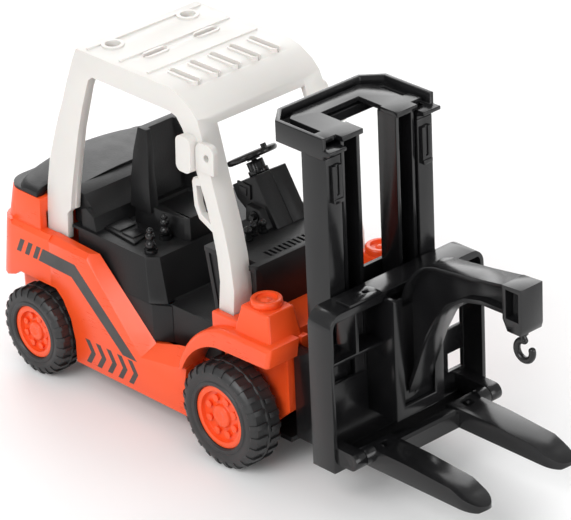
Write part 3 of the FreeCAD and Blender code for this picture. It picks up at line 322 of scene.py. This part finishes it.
def make_tyre(node, disc):
    """Tyre carcass with two rows of tread bars that wrap its shoulders, half a pitch apart."""
    low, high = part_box(node)
    disc_low, disc_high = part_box(disc)
    axle = ((low.x + high.x) / 2, (low.z + high.z) / 2)
    big = (high.z - low.z) / 2
    small = (disc_high.z - disc_low.z) / 2
    middle = (low.y + high.y) / 2
    half = (high.y - low.y) / 2
    side = [(small, 0.90), (small + 0.4 * MM, 1.0), (small + 1.5 * MM, 1.0), (small + 1.9 * MM, 0.955),
            (small + 2.3 * MM, 0.955), (small + 2.7 * MM, 0.985), (big - 3.1 * MM, 0.985),
            (big - 2.5 * MM, 0.95), (big - 1.5 * MM, 0.88), (big - 0.8 * MM, 0.74)]
    crown = [(big - 0.7 * MM, 0.10), (big - 0.2 * MM, 0.05)]
    outline = side + crown
    points = [(r, middle + share * half) for r, share in outline]
    points += [(r, middle - share * half) for r, share in reversed(outline)]
    bm = spins(points, axle, TYRE_STEPS)
    pitch = 2 * math.pi / TREAD_BARS
    for row, sign in ((0, 1), (1, -1)):
        profile = [(big - 1.2 * MM, 0.13), (big - 0.1 * MM, 0.13), (big, 0.17), (big - 0.05 * MM, 0.70),
                   (big - 0.5 * MM, 0.83), (big - 1.7 * MM, 0.955), (big - 2.6 * MM, 1.0),
                   (big - 3.2 * MM, 0.98), (big - 2.6 * MM, 0.88), (big - 1.4 * MM, 0.70)]
        shaped = [(r, middle + sign * share * half) for r, share in profile]
        for i in range(TREAD_BARS):
            lug(bm, axle, (i + 0.5 * row) * pitch, pitch * 0.17, shaped)
    piece = finish_mesh(node + "_moulded", bm, MATERIALS["tyre_rubber"], NODE_BODY[node], 30.0)
    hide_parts(node)


def make_disc(node, outward):
    """Wheel disc: rolled rim, recessed ring with eight nuts, raised hub with a dimple."""
    low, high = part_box(node)
    axle = ((low.x + high.x) / 2, (low.z + high.z) / 2)
    r = (high.z - low.z) / 2
    outer = high.y if outward > 0 else low.y
    inner = low.y if outward > 0 else high.y
    s = outward * MM
    rim = r - 2.1 * MM
    hub = r * 0.36
    points = [(0.01 * MM, inner), (r * 0.6, inner), (r, inner), (r, outer - 0.5 * s),
              (r - 0.15 * MM, outer - 0.12 * s), (r - 0.5 * MM, outer),
              (rim + 0.35 * MM, outer), (rim + 0.05 * MM, outer - 0.15 * s),
              (rim, outer - 0.5 * s), (rim - 0.1 * MM, outer - 1.5 * s), (rim - 0.3 * MM, outer - 1.75 * s),
              (hub + 0.5 * MM, outer - 1.75 * s), (hub + 0.2 * MM, outer - 1.6 * s), (hub, outer - 1.2 * s),
              (hub - 0.1 * MM, outer - 0.7 * s), (hub - 0.4 * MM, outer - 0.45 * s),
              (r * 0.17, outer - 0.45 * s), (r * 0.14, outer - 0.6 * s), (r * 0.06, outer - 0.85 * s),
              (0.01 * MM, outer - 0.9 * s)]
    bm = spins(points, axle, DISC_STEPS)
    nut_circle = r * 0.585
    for i in range(NUTS):
        a = 2 * math.pi * (i + 0.5) / NUTS
        centre = Vector((axle[0] + nut_circle * math.cos(a), outer - 1.35 * s,
                         axle[1] + nut_circle * math.sin(a)))
        place = Matrix.Translation(centre) @ Matrix.Rotation(math.radians(90) * outward, 4, "X")
        made = bmesh.ops.create_cone(bm, cap_ends=True, segments=20, radius1=r * 0.125, radius2=r * 0.095,
                                     depth=1.3 * MM, matrix=place)
        rims = [e for e in {e for v in made["verts"] for e in v.link_edges}
                if e.calc_face_angle(0) > 0.7]
        bmesh.ops.bevel(bm, geom=rims, offset=0.14 * MM, segments=2, profile=0.5, affect="EDGES",
                        clamp_overlap=True)
    piece = finish_mesh(node + "_moulded", bm, MATERIALS["orange_disc"], NODE_BODY[node], 40.0)
    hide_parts(node)


def make_wheels():
    for end in ("front", "rear"):
        for word, outward in (("left", 1), ("right", -1)):
            make_tyre(f"{end}_tyre_{word}", f"{end}_disc_{word}")
            make_disc(f"{end}_disc_{word}", outward)


# ---- stage --------------------------------------------------------------------------------------
CAMERA_AZIMUTH = 48.17
CAMERA_ELEVATION = 26.81
CAMERA_ROLL = 2.57
CAMERA_LENS = 240.9
CAMERA_TARGET = Vector((-2.0, 0.0, 50.0))
CAMERA_OFFSET = Vector((0.38, 8.55, 1289.92))


def make_camera():
    a, e, roll = map(math.radians, (CAMERA_AZIMUTH, CAMERA_ELEVATION, CAMERA_ROLL))
    right = Vector((math.cos(a), math.sin(a), 0))
    back = Vector((math.sin(a) * math.cos(e), -math.cos(a) * math.cos(e), math.sin(e)))
    up = back.cross(right)
    across = right * math.cos(roll) - up * math.sin(roll)
    upward = right * math.sin(roll) + up * math.cos(roll)
    data = bpy.data.cameras.new("camera")
    data.lens = CAMERA_LENS
    data.sensor_width = 36.0
    data.clip_start = 0.05
    data.clip_end = 20.0
    camera = bpy.data.objects.new("camera", data)
    bpy.context.scene.collection.objects.link(camera)
    place = Matrix((across, upward, back)).transposed().to_4x4()
    offset = across * CAMERA_OFFSET.x + upward * CAMERA_OFFSET.y + back * CAMERA_OFFSET.z
    place.translation = (CAMERA_TARGET + offset) * MM
    camera.matrix_world = place
    bpy.context.scene.camera = camera


def make_floor():
    bm = bmesh.new()
    bmesh.ops.create_grid(bm, x_segments=1, y_segments=1, size=3.0)
    mesh = bpy.data.meshes.new("floor")
    bm.to_mesh(mesh)
    bm.free()
    n = Nodes("floor_paper")
    n.link(n.colours(n.noise(3, 3), (0.90, 0.90, 0.90), (0.92, 0.92, 0.92)), "Base Color")
    n.link(n.spread(n.noise(20, 3), 0.3, 0.7, 0.55, 0.65), "Roughness")
    n.link(n.bump(n.noise(800, 2), 0.05, 0.00005), "Normal")
    mesh.materials.append(n.material)
    floor = bpy.data.objects.new("floor", mesh)
    bpy.context.scene.collection.objects.link(floor)


WORLD_STRENGTH = 0.58
LIGHTS = (                  # name, azimuth, elevation, distance and size in metres, watts
    ("key", 8, 38, 2.0, 1.3, 24.0),
    ("top", 60, 85, 2.0, 1.4, 1.5),
    ("front", 100, 12, 2.0, 1.5, 22.0),
    ("backdrop", 228, 30, 1.5, 1.3, 12.0),
)
TRUCK_MIDDLE = Vector((0, 0, 0.05))


def add_light(name, azimuth, elevation, distance, size, power):
    """Soft square light aimed at the middle of the truck."""
    a, e = math.radians(azimuth), math.radians(elevation)
    away = Vector((math.sin(a) * math.cos(e), -math.cos(a) * math.cos(e), math.sin(e)))
    data = bpy.data.lights.new(name, "AREA")
    data.shape = "SQUARE"
    data.size = size
    data.energy = power
    light = bpy.data.objects.new(name, data)
    bpy.context.scene.collection.objects.link(light)
    light.rotation_mode = "QUATERNION"
    light.rotation_quaternion = (-away).to_track_quat("-Z", "Y")
    light.location = TRUCK_MIDDLE + away * distance


def make_light():
    world = bpy.data.worlds.new("studio")
    world.use_nodes = True
    background = world.node_tree.nodes["Background"]
    background.inputs["Color"].default_value = (1.0, 1.0, 1.0, 1)
    background.inputs["Strength"].default_value = WORLD_STRENGTH
    bpy.context.scene.world = world
    for light in LIGHTS:
        add_light(*light)
    bpy.context.scene.view_settings.view_transform = "Standard"


dress_nodes()
make_prints()
make_wheels()
make_floor()
make_light()
make_camera()
